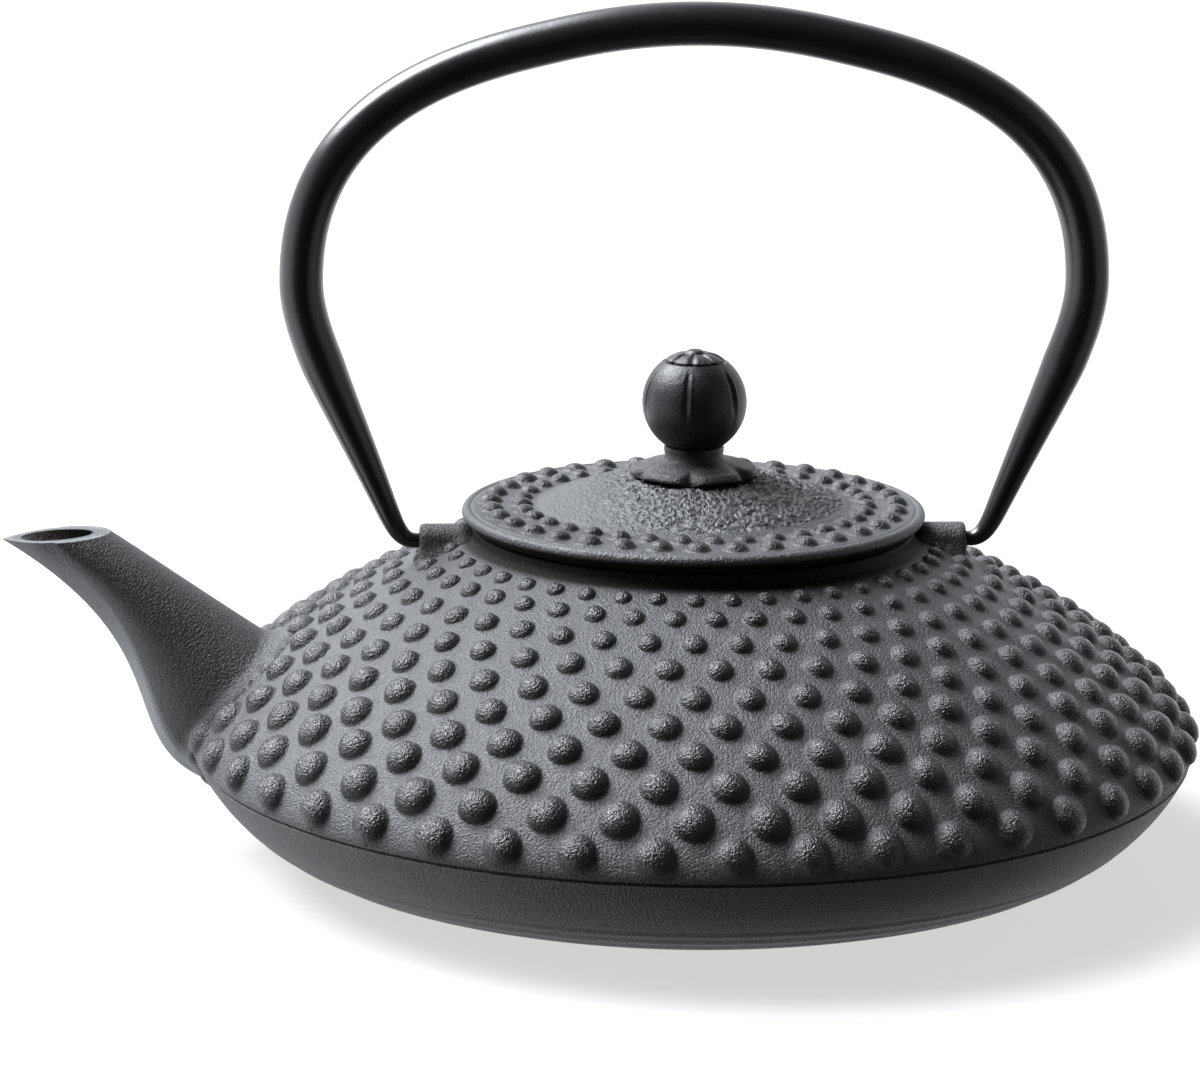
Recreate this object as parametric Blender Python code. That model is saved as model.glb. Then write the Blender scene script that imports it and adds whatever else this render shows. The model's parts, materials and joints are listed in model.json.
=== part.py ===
"""Cast iron teapot with a bail handle, a lift-off lid and a tea infuser.

Frame: +Z up, origin at the centre of the flat base on the pot's axis, spout towards -X. The bail
turns about the X axis line through both lugs. Driving sizes are in millimetres and turned into
metres where meshes are made.
"""

import math

import bmesh
import bpy
from mathutils import Vector

MM = 0.001
GAP = 0.3                  # between neighbouring solids

# Pot body, turned about Z: (radius, height)
BASE_R = 58.0
BELLY_R = 101.3            # widest, over the mean height of the bumps
BELLY_Z = 24.0
BELLY_STEP = 1.0           # the bumped shoulder stands out over the smooth bowl
SHOULDER_R = 46.0
SHOULDER_Z = 64.6
SHOULDER_SLOPE = math.radians(19.5)
WALL = 3.6
COLLAR_R = 44.5
COLLAR_TOP = 66.7
SEAT_R = 41.8              # recess inside the collar, for the lid's skirt and the infuser's flange
SEAT_Z = 62.4              # ledge that carries the infuser
MOUTH_R = 38.0

# Spout, in the XZ plane: distance out from the axis, height
SPOUT_TIP = (138.4, 64.3)
SPOUT_TOP = (116.8, 65.7)
SPOUT_MOUTH_HALF = 7.6
SPOUT_ROOT_HALF = 15.0
SPOUT_BORE = (             # distance out, height and radius along the channel
    (133.6, 70.0, 4.6),
    (127.6, 65.0, 4.6),
    (120.0, 59.6, 4.4),
    (109.5, 50.5, 5.0),
    (99.0, 41.0, 5.6),
    (84.0, 32.0, 6.5),
)

# Lugs and bail
PIVOT_Z = 63.6
LUG_END = 55.0
LUG_HALF = 3.9
PIN_BORE_R = 2.0
PIN_BORE_DEPTH = 8.0
BAIL_TOP_Z = 167.2         # centre line at the top of the arch
BAIL_TOP_ARC_R = 118.5
BAIL_TOP_ARC_DEG = 13.2
BAIL_HALF_W = 78.2
BAIL_WIDEST_Z = 116.2
BAIL_LEG_LEAN = math.radians(22.7)
BAIL_TAPER_Z = 99.6        # the bar tapers from here down to its foot
BAIL_FOOT = (61.6, 70.4)
BAIL_R = 4.35
BAIL_FOOT_R = 2.3
BAIL_PIN_R = 1.5
BAIL_PIN_END = 48.0

# Lid
LID_RIM_R = 45.0            # centre of the rolled rim's section
LID_RIM_Z = 69.3
LID_RIM_ROLL = 1.5
LID_UNDER = COLLAR_TOP + GAP
LID_SKIRT_R = 41.2
LID_SKIRT_BOTTOM = 64.4
LID_WALL = 2.8
LID_TOP = 76.6

# Knob stack
ROSETTE_R = 12.7
ROSETTE_TOP = 83.4
NECK_R = 5.9
BALL_R = 10.2
BALL_Z = 91.8
KNOB_TOP = 102.5
SCREW_R = 2.0
SCREW_CLEARANCE = 0.3
SCREW_TOP = 94.0
SCREW_HEAD_R = 3.6
SCREW_HEAD_H = 2.0
WASHER_R = 5.5
WASHER_H = 0.8

# Infuser
FLANGE_R = 41.2
FLANGE_BOTTOM = SEAT_Z + GAP
FLANGE_H = 0.9
NECK_BAND_R = 37.2
NECK_BAND_H = 6.0
SHEET = 0.6
MESH_R = NECK_BAND_R - SHEET - GAP
MESH_BOTTOM = 17.0
CUP_BOTTOM = 15.4
CUP_LIP = 5.0


def material(name, colour, metallic, roughness):
    """A plain Principled material in the piece's own colour."""
    made = bpy.data.materials.new(name)
    made.use_nodes = True
    shader = made.node_tree.nodes["Principled BSDF"]
    shader.inputs["Base Color"].default_value = (*colour, 1.0)
    shader.inputs["Metallic"].default_value = metallic
    shader.inputs["Roughness"].default_value = roughness
    return made


def bezier(start, leave, arrive, end, steps):
    """Points of a cubic Bezier in the plane, both ends included."""
    points = []
    for i in range(steps + 1):
        t = i / steps
        weights = ((1 - t) ** 3, 3 * (1 - t) ** 2 * t, 3 * (1 - t) * t * t, t**3)
        corners = (start, leave, arrive, end)
        points.append(tuple(sum(w * c[k] for w, c in zip(weights, corners)) for k in (0, 1)))
    return points


def arc(centre, radius, first, last, steps):
    """Points of an arc in the plane, from angle first to angle last in degrees."""
    points = []
    for i in range(steps + 1):
        angle = math.radians(first + (last - first) * i / steps)
        points.append((centre[0] + radius * math.cos(angle), centre[1] + radius * math.sin(angle)))
    return points


def link(mesh, name, finish=None, smooth_angle=35):
    """Makes an object of a bmesh, in the scene, with faces outwards."""
    bmesh.ops.recalc_face_normals(mesh, faces=mesh.faces)
    data = bpy.data.meshes.new(name)
    mesh.to_mesh(data)
    mesh.free()
    data.shade_smooth()
    data.set_sharp_from_angle(angle=math.radians(smooth_angle))
    made = bpy.data.objects.new(name, data)
    bpy.context.scene.collection.objects.link(made)
    if finish:
        data.materials.append(finish)
    return made


def turned(profile, sides, on_axis=0.01):
    """A bmesh turned about Z from a closed (radius, height) outline in millimetres."""
    mesh = bmesh.new()
    rings = []
    for radius, height in profile:
        if radius < on_axis:
            rings.append([mesh.verts.new((0.0, 0.0, height * MM))])
            continue
        ring = []
        for k in range(sides):
            angle = math.tau * k / sides
            point = Vector((radius * math.cos(angle), radius * math.sin(angle), height))
            ring.append(mesh.verts.new(point * MM))
        rings.append(ring)
    for one, other in zip(rings, rings[1:] + rings[:1]):
        if len(one) == 1 and len(other) == 1:
            continue
        for k in range(sides):
            after = k + 1
            corners = [one[k % len(one)], one[after % len(one)]]
            corners += [other[after % len(other)], other[k % len(other)]]
            mesh.faces.new(list(dict.fromkeys(corners)))
    return mesh


def lofted(sections):
    """A closed bmesh through equal-length loops of points in millimetres, capped at both ends."""
    mesh = bmesh.new()
    rings = [[mesh.verts.new(Vector(point) * MM) for point in section] for section in sections]
    for one, other in zip(rings, rings[1:]):
        for k in range(len(one)):
            after = (k + 1) % len(one)
            mesh.faces.new((one[k], one[after], other[after], other[k]))
    mesh.faces.new(rings[0])
    mesh.faces.new(rings[-1])
    bmesh.ops.triangulate(mesh, faces=[face for face in mesh.faces if len(face.verts) > 4])
    return mesh


def boolean(target, cutter, operation):
    """Adds a Boolean modifier and turns its cutter into a hidden helper."""
    cutter.hide_render = True
    cutter.display_type = "WIRE"
    modifier = target.modifiers.new(cutter.name, "BOOLEAN")
    modifier.operation = operation
    modifier.object = cutter
    modifier.solver = "EXACT"


def shoulder_curve(inset, steps):
    """The shoulder from the collar to the belly, moved in from the outer surface by inset."""
    outer = bezier(
        (SHOULDER_R, SHOULDER_Z),
        (SHOULDER_R + 24.5 * math.cos(SHOULDER_SLOPE), SHOULDER_Z - 24.5 * math.sin(SHOULDER_SLOPE)),
        (BELLY_R, BELLY_Z + 12.0),
        (BELLY_R, BELLY_Z),
        steps,
    )
    return offset_curve(outer, inset)


def bowl_curve(inset, steps):
    """The smooth lower bowl from the belly to the edge of the base, moved in by inset."""
    outer = bezier((BELLY_R - BELLY_STEP, BELLY_Z), (96.3, 12.0), (82.0, 0.0), (BASE_R, 0.0), steps)
    return offset_curve(outer, inset)


def offset_curve(points, inset):
    """The curve moved to its right-hand side, which is inwards for an outline run top to bottom."""
    if not inset:
        return points
    moved = []
    for i, (x, y) in enumerate(points):
        before = points[max(i - 1, 0)]
        after = points[min(i + 1, len(points) - 1)]
        dx, dy = after[0] - before[0], after[1] - before[1]
        length = math.hypot(dx, dy)
        moved.append((x + inset * dy / length, y - inset * dx / length))
    return moved


def body_outline():
    """Outer outline of the body, as a solid without its hollow."""
    return (
        [(0.0, COLLAR_TOP), (COLLAR_R - 0.6, COLLAR_TOP), (COLLAR_R, COLLAR_TOP - 0.6)]
        + [(COLLAR_R, SHOULDER_Z + 0.8)]
        + shoulder_curve(0.0, 8)
        + bowl_curve(0.0, 7)
        + [(0.0, 0.0)]
    )


def hollow_outline():
    """The inside of the body and its stepped mouth."""
    above = COLLAR_TOP + 5.0
    shoulder = [p for p in shoulder_curve(WALL + 0.6, 7) if p[0] > MOUTH_R + 12.0 and p[1] > BELLY_Z + 2.0]
    bowl = [p for p in bowl_curve(WALL, 6) if p[1] < BELLY_Z]
    return (
        [(0.0, above), (SEAT_R, above), (SEAT_R, SEAT_Z), (MOUTH_R, SEAT_Z), (MOUTH_R, SEAT_Z - 3.6)]
        + shoulder
        + bowl
        + [(0.0, WALL)]
    )


def spout_section(t):
    """One closed loop across the spout: t is 0 at the mouth and 1 where it meets the body."""
    keel = bezier(SPOUT_TIP, (100.8, 40.9), (118.5, 22.2), (97.0, 13.5), 100)[round(100 * t)]
    top = (SPOUT_TOP[0] - 30.1 * t, SPOUT_TOP[1] - 20.7 * t)
    half = SPOUT_MOUTH_HALF + (SPOUT_ROOT_HALF - SPOUT_MOUTH_HALF) * t
    crease = 4.0 + 7.0 * math.exp(-t / 0.05)
    height = math.dist(keel, top)
    widest = max(0.55 * height, crease + 0.5)
    side = [(crease, half * (0.62 + 0.3 * math.exp(-t / 0.05)))]
    side += [(0.5 * (crease + widest), 0.5 * (side[0][1] + half) + 0.4)]
    for k in range(4):
        angle = math.radians(90 * k / 4)
        side.append((widest + (height - widest) * math.sin(angle), half * math.cos(angle)))
    outline = [(0.0, 0.0)] + side + [(height, 0.0)] + [(s, -y) for s, y in reversed(side)]
    direction = ((top[0] - keel[0]) / height, (top[1] - keel[1]) / height)
    return [(-(keel[0] + direction[0] * s), y, keel[1] + direction[1] * s) for s, y in outline]


def make_spout():
    """The spout's outside, ending inside the body."""
    sections = [spout_section(t) for t in (0.0, 0.04, 0.1, 0.2, 0.32, 0.45, 0.58, 0.7, 0.8, 0.9, 1.0)]
    inner = [(x + 9.0, y, z - 2.0) for x, y, z in sections[-1]]
    return link(lofted(sections + [inner]), "spout_outside")


def ring_across(centre, direction, radius, sides):
    """A circle of points in the plane across a direction that lies in XZ; the first two are 3-D."""
    along = Vector(direction).normalized()
    across = Vector((0.0, 1.0, 0.0))
    up = along.cross(across)
    loop = []
    for k in range(sides):
        angle = math.tau * (k + 0.5) / sides
        loop.append(Vector(centre) + radius * (math.cos(angle) * across + math.sin(angle) * up))
    return loop


def tube_along(path, radii, sides):
    """A closed bmesh of round sections along a path in the XZ plane."""
    sections = []
    for i, point in enumerate(path):
        before = Vector(path[max(i - 1, 0)])
        after = Vector(path[min(i + 1, len(path) - 1)])
        sections.append(ring_across(point, after - before, radii[i], sides))
    return lofted(sections)


def make_spout_bore():
    """The channel from the mouth of the spout into the hollow."""
    path = [(-x, 0.0, z) for x, z, _ in SPOUT_BORE]
    return link(tube_along(path, [radius for _, _, radius in SPOUT_BORE], 16), "spout_bore")


def make_lug(side):
    """One round-topped lug, standing on the shoulder beside the collar."""
    outline = arc((0.0, PIVOT_Z), LUG_HALF - 0.5, 0, 180, 8)
    outline = [(LUG_HALF + 0.6, PIVOT_Z - 9.0)] + outline + [(-LUG_HALF - 0.6, PIVOT_Z - 9.0)]
    sections = [[(side * x, y, z) for y, z in outline] for x in (SEAT_R + 1.0, LUG_END)]
    return link(lofted(sections), "lug_left" if side < 0 else "lug_right")


def make_pin_bore(side):
    """The blind hole in a lug for one end of the bail."""
    path = [(side * x, 0.0, PIVOT_Z) for x in (LUG_END + 4.0, LUG_END - PIN_BORE_DEPTH)]
    return link(tube_along(path, [PIN_BORE_R] * 2, 16), "pin_bore_left" if side < 0 else "pin_bore_right")


def make_pot_body(finish):
    """Body, spout and lugs as one hollow casting."""
    body = link(turned(body_outline(), 64), "pot_body", finish)
    boolean(body, make_spout(), "UNION")
    for side in (-1, 1):
        boolean(body, make_lug(side), "UNION")
    boolean(body, link(turned(hollow_outline(), 64), "hollow"), "DIFFERENCE")
    boolean(body, make_spout_bore(), "DIFFERENCE")
    for side in (-1, 1):
        boolean(body, make_pin_bore(side), "DIFFERENCE")
    return body


def bail_path():
    """Right half of the bail's centre line with the radius at each point, from the top to the pin's end."""
    top = arc((0.0, BAIL_TOP_Z - BAIL_TOP_ARC_R), BAIL_TOP_ARC_R, 90, 90 - BAIL_TOP_ARC_DEG, 4)
    slope = math.radians(BAIL_TOP_ARC_DEG)
    corner = bezier(
        top[-1],
        (top[-1][0] + 15.4 * math.cos(slope), top[-1][1] - 15.4 * math.sin(slope)),
        (BAIL_HALF_W, BAIL_WIDEST_Z + 37.2),
        (BAIL_HALF_W, BAIL_WIDEST_Z),
        14,
    )
    out, down = math.sin(BAIL_LEG_LEAN), math.cos(BAIL_LEG_LEAN)
    leg = bezier(
        (BAIL_HALF_W, BAIL_WIDEST_Z),
        (BAIL_HALF_W, BAIL_WIDEST_Z - 10.0),
        (BAIL_FOOT[0] + 27.4 * out, BAIL_FOOT[1] + 27.4 * down),
        BAIL_FOOT,
        10,
    )
    bend = bezier(
        BAIL_FOOT,
        (BAIL_FOOT[0] - 4.5 * out, BAIL_FOOT[1] - 4.5 * down),
        (LUG_END + 3.6, PIVOT_Z),
        (LUG_END + 0.8, PIVOT_Z),
        5,
    )
    points = top + corner[1:] + leg[1:] + bend[1:] + [(BAIL_PIN_END, PIVOT_Z)]
    radii = []
    for x, z in points[: -len(bend)]:
        share = min(max((z - BAIL_FOOT[1]) / (BAIL_TAPER_Z - BAIL_FOOT[1]), 0.0), 1.0)
        radii.append(BAIL_FOOT_R + (BAIL_R - BAIL_FOOT_R) * share)
    for k in range(len(bend)):
        radii.append(max(BAIL_FOOT_R + (BAIL_PIN_R - BAIL_FOOT_R) * k / (len(bend) - 2), BAIL_PIN_R))
    return points, radii


def make_bail(finish):
    """The tapered bar arch, with its origin on its pivot axis."""
    points, radii = bail_path()
    path = [(-x, 0.0, z) for x, z in reversed(points[1:])] + [(x, 0.0, z) for x, z in points]
    mesh = tube_along(path, list(reversed(radii[1:])) + radii, 12)
    bmesh.ops.translate(mesh, verts=mesh.verts, vec=(0.0, 0.0, -PIVOT_Z * MM))
    bail = link(mesh, "bail_handle", finish)
    bail.location.z = PIVOT_Z * MM
    return bail


def make_lid(finish):
    """The domed cover with its rolled rim and locating skirt, bored for the knob's screw."""
    bore = SCREW_R + SCREW_CLEARANCE
    dome = bezier((12.0, LID_TOP), (19.0, 75.6), (25.0, 73.6), (30.2, 71.2), 5)
    under = [(x, z - LID_WALL) for x, z in reversed(dome)]
    outline = (
        [(bore, LID_TOP)]
        + dome
        + [(34.0, 70.8), (40.0, 70.5), (LID_RIM_R - 0.4, LID_RIM_Z + LID_RIM_ROLL)]
        + arc((LID_RIM_R, LID_RIM_Z), LID_RIM_ROLL, 80, -60, 6)
        + [(LID_RIM_R - 0.4, LID_UNDER), (LID_SKIRT_R, LID_UNDER), (LID_SKIRT_R, LID_SKIRT_BOTTOM + 0.5)]
        + [(LID_SKIRT_R - 0.5, LID_SKIRT_BOTTOM), (LID_SKIRT_R - 2.6, LID_SKIRT_BOTTOM)]
        + [(LID_SKIRT_R - 3.2, LID_UNDER + 0.8)]
        + under
        + [(bore, LID_TOP - LID_WALL)]
    )
    return link(turned(outline, 56), "lid", finish)


def make_rosette(finish):
    """Scalloped seat between lid and knob."""
    bore = SCREW_R + SCREW_CLEARANCE
    bottom = LID_TOP + GAP
    outline = (
        [(bore, ROSETTE_TOP - 2.0), (NECK_R, ROSETTE_TOP - 2.0)]
        + bezier((NECK_R + 0.4, ROSETTE_TOP - 2.2), (8.5, 80.6), (11.5, 79.6), (ROSETTE_R, bottom + 0.8), 6)
        + [(ROSETTE_R - 0.6, bottom), (bore, bottom)]
    )
    return link(turned(outline, 36), "knob_rosette", finish)


def make_knob(finish):
    """Ball, neck and small cap, with a blind hole from below for the screw."""
    bore = SCREW_R + GAP
    bottom = ROSETTE_TOP - 2.0 + GAP
    outline = (
        [(0.0, KNOB_TOP), (1.2, KNOB_TOP - 0.4), (3.2, KNOB_TOP - 1.2)]
        + [(5.6, KNOB_TOP - 1.6), (5.8, KNOB_TOP - 2.4)]
        + arc((0.0, BALL_Z), BALL_R, 54, -52, 12)
        + [(NECK_R, BALL_Z - BALL_R + 1.4), (NECK_R, bottom), (bore, bottom)]
        + [(bore, SCREW_TOP + 1.0), (0.0, SCREW_TOP + 1.0)]
    )
    return link(turned(outline, 28), "knob", finish)


def make_screw(finish):
    """Round-headed screw that holds the knob from under the lid."""
    top = LID_TOP - LID_WALL - GAP - WASHER_H - GAP
    outline = (
        [(0.0, SCREW_TOP), (SCREW_R - 0.3, SCREW_TOP), (SCREW_R, SCREW_TOP - 0.3), (SCREW_R, top)]
        + [(SCREW_HEAD_R, top), (SCREW_HEAD_R, top - 0.8)]
        + [(SCREW_HEAD_R * 0.8, top - SCREW_HEAD_H * 0.85), (0.0, top - SCREW_HEAD_H)]
    )
    return link(turned(outline, 24), "knob_screw", finish)


def make_washer(finish):
    """Flat washer under the screw's head."""
    top = LID_TOP - LID_WALL - GAP
    bore = SCREW_R + GAP
    outline = [(bore, top), (WASHER_R, top), (WASHER_R, top - WASHER_H), (bore, top - WASHER_H)]
    return link(turned(outline, 24), "knob_washer", finish)


def make_infuser_rim(finish):
    """Flange on the ledge in the mouth, with the band that the mesh hangs from."""
    top = FLANGE_BOTTOM + FLANGE_H
    bottom = FLANGE_BOTTOM - NECK_BAND_H
    inner = NECK_BAND_R - SHEET
    outline = [
        (inner, top), (FLANGE_R, top), (FLANGE_R, FLANGE_BOTTOM), (NECK_BAND_R, FLANGE_BOTTOM),
        (NECK_BAND_R, bottom), (inner, bottom),
    ]
    return link(turned(outline, 48), "infuser_rim", finish)


def make_infuser_mesh(finish):
    """The sleeve of woven mesh, as a plain thin tube."""
    top = FLANGE_BOTTOM - 1.5
    outline = [(MESH_R, top), (MESH_R, MESH_BOTTOM), (MESH_R - SHEET, MESH_BOTTOM), (MESH_R - SHEET, top)]
    return link(turned(outline, 48), "infuser_mesh", finish)


def make_infuser_cup(finish):
    """Pressed cup that closes the sleeve's lower end."""
    outside = NECK_BAND_R
    floor = CUP_BOTTOM + SHEET
    outline = [
        (0.0, floor), (outside - SHEET - 0.6, floor), (outside - SHEET, floor + 0.6),
        (outside - SHEET, CUP_BOTTOM + CUP_LIP), (outside, CUP_BOTTOM + CUP_LIP), (outside, CUP_BOTTOM + 1.0),
        (outside - 1.0, CUP_BOTTOM), (0.0, CUP_BOTTOM),
    ]
    return link(turned(outline, 48), "infuser_cup", finish)


def main():
    for old in list(bpy.data.objects):
        bpy.data.objects.remove(old)
    iron = material("cast_iron", (0.045, 0.047, 0.052), 0.3, 0.55)
    enamel = material("bail_enamel", (0.02, 0.021, 0.024), 0.2, 0.4)
    knob_iron = material("knob_iron", (0.035, 0.037, 0.042), 0.3, 0.45)
    steel = material("stainless", (0.6, 0.6, 0.6), 1.0, 0.3)
    make_pot_body(iron)
    make_bail(enamel)
    make_lid(iron)
    make_rosette(knob_iron)
    make_knob(knob_iron)
    for make in (make_screw, make_washer, make_infuser_rim, make_infuser_mesh, make_infuser_cup):
        make(steel)


main()
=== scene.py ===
"""Looks of the cast iron teapot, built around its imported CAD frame.

Lengths are in millimetres in here, and turned into metres where meshes are made. Turned outlines
are (radius, height) pairs. Angle 0 points to -Y and grows towards +X, so the spout is at -90 degrees.
"""

import json
import math
import random

import bmesh
import bpy
import numpy as np
from mathutils import Matrix, Vector, noise
from mathutils.bvhtree import BVHTree


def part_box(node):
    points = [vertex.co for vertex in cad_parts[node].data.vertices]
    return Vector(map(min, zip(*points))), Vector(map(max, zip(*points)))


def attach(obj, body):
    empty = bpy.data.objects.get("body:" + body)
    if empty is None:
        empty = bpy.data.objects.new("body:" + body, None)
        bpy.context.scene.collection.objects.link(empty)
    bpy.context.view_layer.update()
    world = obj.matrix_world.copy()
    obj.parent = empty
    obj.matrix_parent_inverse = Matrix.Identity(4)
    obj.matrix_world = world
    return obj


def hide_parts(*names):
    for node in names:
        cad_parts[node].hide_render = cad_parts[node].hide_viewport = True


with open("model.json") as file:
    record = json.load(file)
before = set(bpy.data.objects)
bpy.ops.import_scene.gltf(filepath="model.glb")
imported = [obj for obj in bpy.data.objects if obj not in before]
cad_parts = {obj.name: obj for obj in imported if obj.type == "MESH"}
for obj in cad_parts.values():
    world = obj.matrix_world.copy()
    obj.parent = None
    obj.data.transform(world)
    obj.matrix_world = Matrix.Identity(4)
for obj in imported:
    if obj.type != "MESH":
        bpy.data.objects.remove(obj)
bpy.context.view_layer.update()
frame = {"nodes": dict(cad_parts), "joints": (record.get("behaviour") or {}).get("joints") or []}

MM = 0.001


def box_mm(node):
    """A CAD node's lowest and highest corners in millimetres."""
    low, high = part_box(node)
    return low / MM, high / MM


POT_LOW, POT_HIGH = box_mm("pot_body")
LID_LOW, LID_HIGH = box_mm("lid")
ROSETTE_LOW, ROSETTE_HIGH = box_mm("knob_rosette")
KNOB_LOW, KNOB_HIGH = box_mm("knob")
RIM_LOW, RIM_HIGH = box_mm("infuser_rim")
SLEEVE_LOW, SLEEVE_HIGH = box_mm("infuser_mesh")
CUP_LOW, CUP_HIGH = box_mm("infuser_cup")
PIVOT_Z = next(j for j in frame["joints"] if j["name"] == "bail_swing")["pos_m"][2] / MM

# Pot shell
BELLY_R = POT_HIGH.y + 1.0
BELLY_Z = 23.0
SHOULDER_START = (46.0, 64.6)
SHOULDER_SLOPE = math.radians(21.0)
SHOULDER_REACH = 17.0
BELLY_REACH = 12.8
COLLAR_R = 44.5
COLLAR_TOP = LID_LOW.z + 2.3
SEAT_R = RIM_HIGH.x + 0.6
SEAT_Z = RIM_LOW.z + 5.7
MOUTH_R = 38.0
BASE_R = 58.0
BOWL_BENDS = ((94.6, 10.0), (83.6, 0.0))
WALL = 3.6

# Bumps on the shell: staggered rows, each bump a share of the spacing in its row
BUMPS_AROUND = 44
ROW_RADII = (49.3, 54.5, 60.8, 67.1, 73.4, 79.4, 85.2, 90.7, 96.2, 100.7)
ROW_PHASE = math.radians(0.55)
BUMP_SHARE = 0.278  # radius over spacing
END_ROW_SHARE = 0.262
BUMP_HEIGHT = 0.68  # height over radius
BUMP_DRIFT = 0.12  # how far a bump may lie off its place
SIDE_POINTS = 5  # points along each side of a bump's cell
SHELL_SEED = 44

# Spout
SPOUT_TIP = (-POT_LOW.x, 64.3)
SPOUT_KEEL = ((100.8, 40.9), (118.5, 22.2), (97.0, 13.5))  # bends and lower end, as (out, up)
SPOUT_TOP = (116.8, 65.7)
SPOUT_TOP_RUN = (30.1, 20.7)  # inwards and down to its root
KEEL_STEPS = 400
SPOUT_MOUTH_HALF = 7.6
SPOUT_ROOT_HALF = 15.0
SPOUT_FILLET = 2.8
SPOUT_BORE = (
    (133.6, 70.0, 4.8),
    (127.6, 65.0, 4.8),
    (120.0, 59.6, 4.6),
    (109.5, 50.5, 5.0),
    (99.0, 41.0, 5.6),
    (84.0, 32.0, 6.5),
)

# Lugs and bail
LUG_END = 55.0
LUG_HALF = 3.4
LUG_FILLET = 1.6
PIN_BORE_R = 2.0
PIN_BORE_DEPTH = 8.0
BAIL_TOP_Z = 167.2
BAIL_TOP_ARC_R = 118.5
BAIL_TOP_ARC_DEG = 13.2
BAIL_HALF_W = 78.2
BAIL_WIDEST_Z = 116.2
BAIL_LEG_LEAN = math.radians(22.7)
BAIL_CORNER_REACHES = (15.4, 37.2)
BAIL_LEG_REACHES = (10.0, 27.4)
BAIL_BEND_REACH = 4.5
BAIL_TAPER_Z = 99.6
BAIL_FOOT = (61.6, 70.4)
BAIL_R = 4.35
BAIL_FOOT_R = 2.3
BAIL_PIN_R = 1.5
BAIL_PIN_END = 48.0

# Lid
LID_RIM_R = 45.0
LID_RIM_Z = 69.3
LID_RIM_ROLL = 1.5
LID_BAND_Z = 70.7
LID_BAND_EDGES = (31.6, 37.7, 43.8)
LID_BUMPS_AROUND = 35
LID_BUMP_RADII = (2.15, 2.45)
LID_SIDE_POINTS = 6
LID_PHASE = math.radians(-2.6)
DOME_TOP = LID_HIGH.z
DOME_BENDS = ((19.0, 75.6), (25.0, 73.6))
HUB_R = 8.0
LID_SEED = 40
LID_WALL = 2.8
SCREW_BORE = 2.3
WRINKLE_SIZE = 1.3
WRINKLE_DEPTH = 0.5

# Knob and rosette
KNOB_SIDES = 240
BALL_R = KNOB_HIGH.x + 0.25
BALL_Z = 91.8
LOBES = 6
LOBE_PHASE = math.radians(-13.0)
CAP_R = 5.8
CAP_PETALS = 8
CAP_PHASE = math.radians(-10.0)
PIP = ((0.6, 0.03), (1.1, 0.12), (1.5, 0.28), (1.8, 0.5), (2.0, 0.8))  # radius, drop
NECK_R = 5.0
ROSETTE_PETALS = 6
ROSETTE_PHASE = math.radians(-7.0)
ROSETTE_SEED = 6
ROSETTE_NECK = ((5.4, 0.0), (5.4, 1.4), (5.6, 1.6), (5.9, 1.5), (6.05, 1.2), (6.0, 0.6), (5.85, -0.3))
ROSETTE_BENDS = ((7.6, 79.6), (11.9, 79.8))
ROSETTE_HEM = ((0.06, 0.25), (0.26, 0.45), (0.6, 0.5), (1.1, 0.3), (1.8, 0.1))  # inwards, down
SCREW_HOLE_TOP = box_mm("knob_screw")[1].z + 1.0

# Infuser
WIRE = 0.42
WIRES_AROUND = 132
INFUSER_SIDES = 180
CUP_CORNER_R = 2.4
CUP_WALL = 0.6
CUP_FLAT_EDGE = 12  # from the cup's outside to where its flat floor begins

# Where finishes change, and where shade is painted under the lid, in metres as the shaders see them
SHADED_COLLAR_R = (0.0455, 0.0478)
LID_SHADED_UNDERSIDE_Z = (0.0684, 0.0696)
ROSETTE_TOP_Z = (0.0805, 0.082)
GRIT_SCALE = 2300.0

# Studio light
KEY_LEAN = 35.0  # degrees from overhead towards the spout
KEY_BACK = 0.2  # how far behind the pot its middle lies, as a sine
KEY_POWER = 45.0
WALL_POWER = 1.4
SIDE_POWER = 0.55
TABLE_POWER = 1.9
FILL_POWER = 0.01
LIGHT_COLOUR = (0.93, 0.96, 1.0, 1.0)
FLOOR_GLOW = 0.63
FLOOR_HALF = 6.0  # metres

# Camera
CAMERA_LENS = 128.2
CAMERA_SENSOR = 36.0
CAMERA_TURN = (2.72, 12.76, 0.37)  # yaw, pitch and roll in degrees
CAMERA_PLACE = (-0.0585, -0.837, 0.254)  # metres


# -------------------------------- outlines

def bezier(start, leave, arrive, end, steps):
    """Points of a cubic Bezier in the plane, both ends included."""
    t = np.linspace(0.0, 1.0, steps + 1)[:, None]
    corners = [np.array(corner, float) for corner in (start, leave, arrive, end)]
    weights = ((1 - t) ** 3, 3 * (1 - t) ** 2 * t, 3 * (1 - t) * t * t, t**3)
    return sum(weight * corner for weight, corner in zip(weights, corners))


def arc(centre, radius, first, last, steps):
    """Points of an arc in the plane, from angle first to angle last in degrees."""
    angles = np.radians(np.linspace(first, last, steps + 1))
    return np.array(centre) + radius * np.stack([np.cos(angles), np.sin(angles)], 1)


def joined(*parts):
    """Several stretches of (radius, height) pairs as one outline."""
    return np.concatenate([np.asarray(part, float).reshape(-1, 2) for part in parts])


def rounded(outline, reach, steps=3):
    """The outline with each inner corner cut to a small curve that starts reach away from it."""
    outline = np.asarray(outline, float)
    points = [outline[:1]]
    for before, corner, after in zip(outline, outline[1:], outline[2:]):
        back, ahead = before - corner, after - corner
        room = min(np.linalg.norm(back), np.linalg.norm(ahead)) * 0.48
        cut = min(reach, room)
        start = corner + back / np.linalg.norm(back) * cut
        end = corner + ahead / np.linalg.norm(ahead) * cut
        points.append(bezier(start, (start + 2 * corner) / 3, (end + 2 * corner) / 3, end, steps))
    points.append(outline[-1:])
    return np.concatenate(points)


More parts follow.
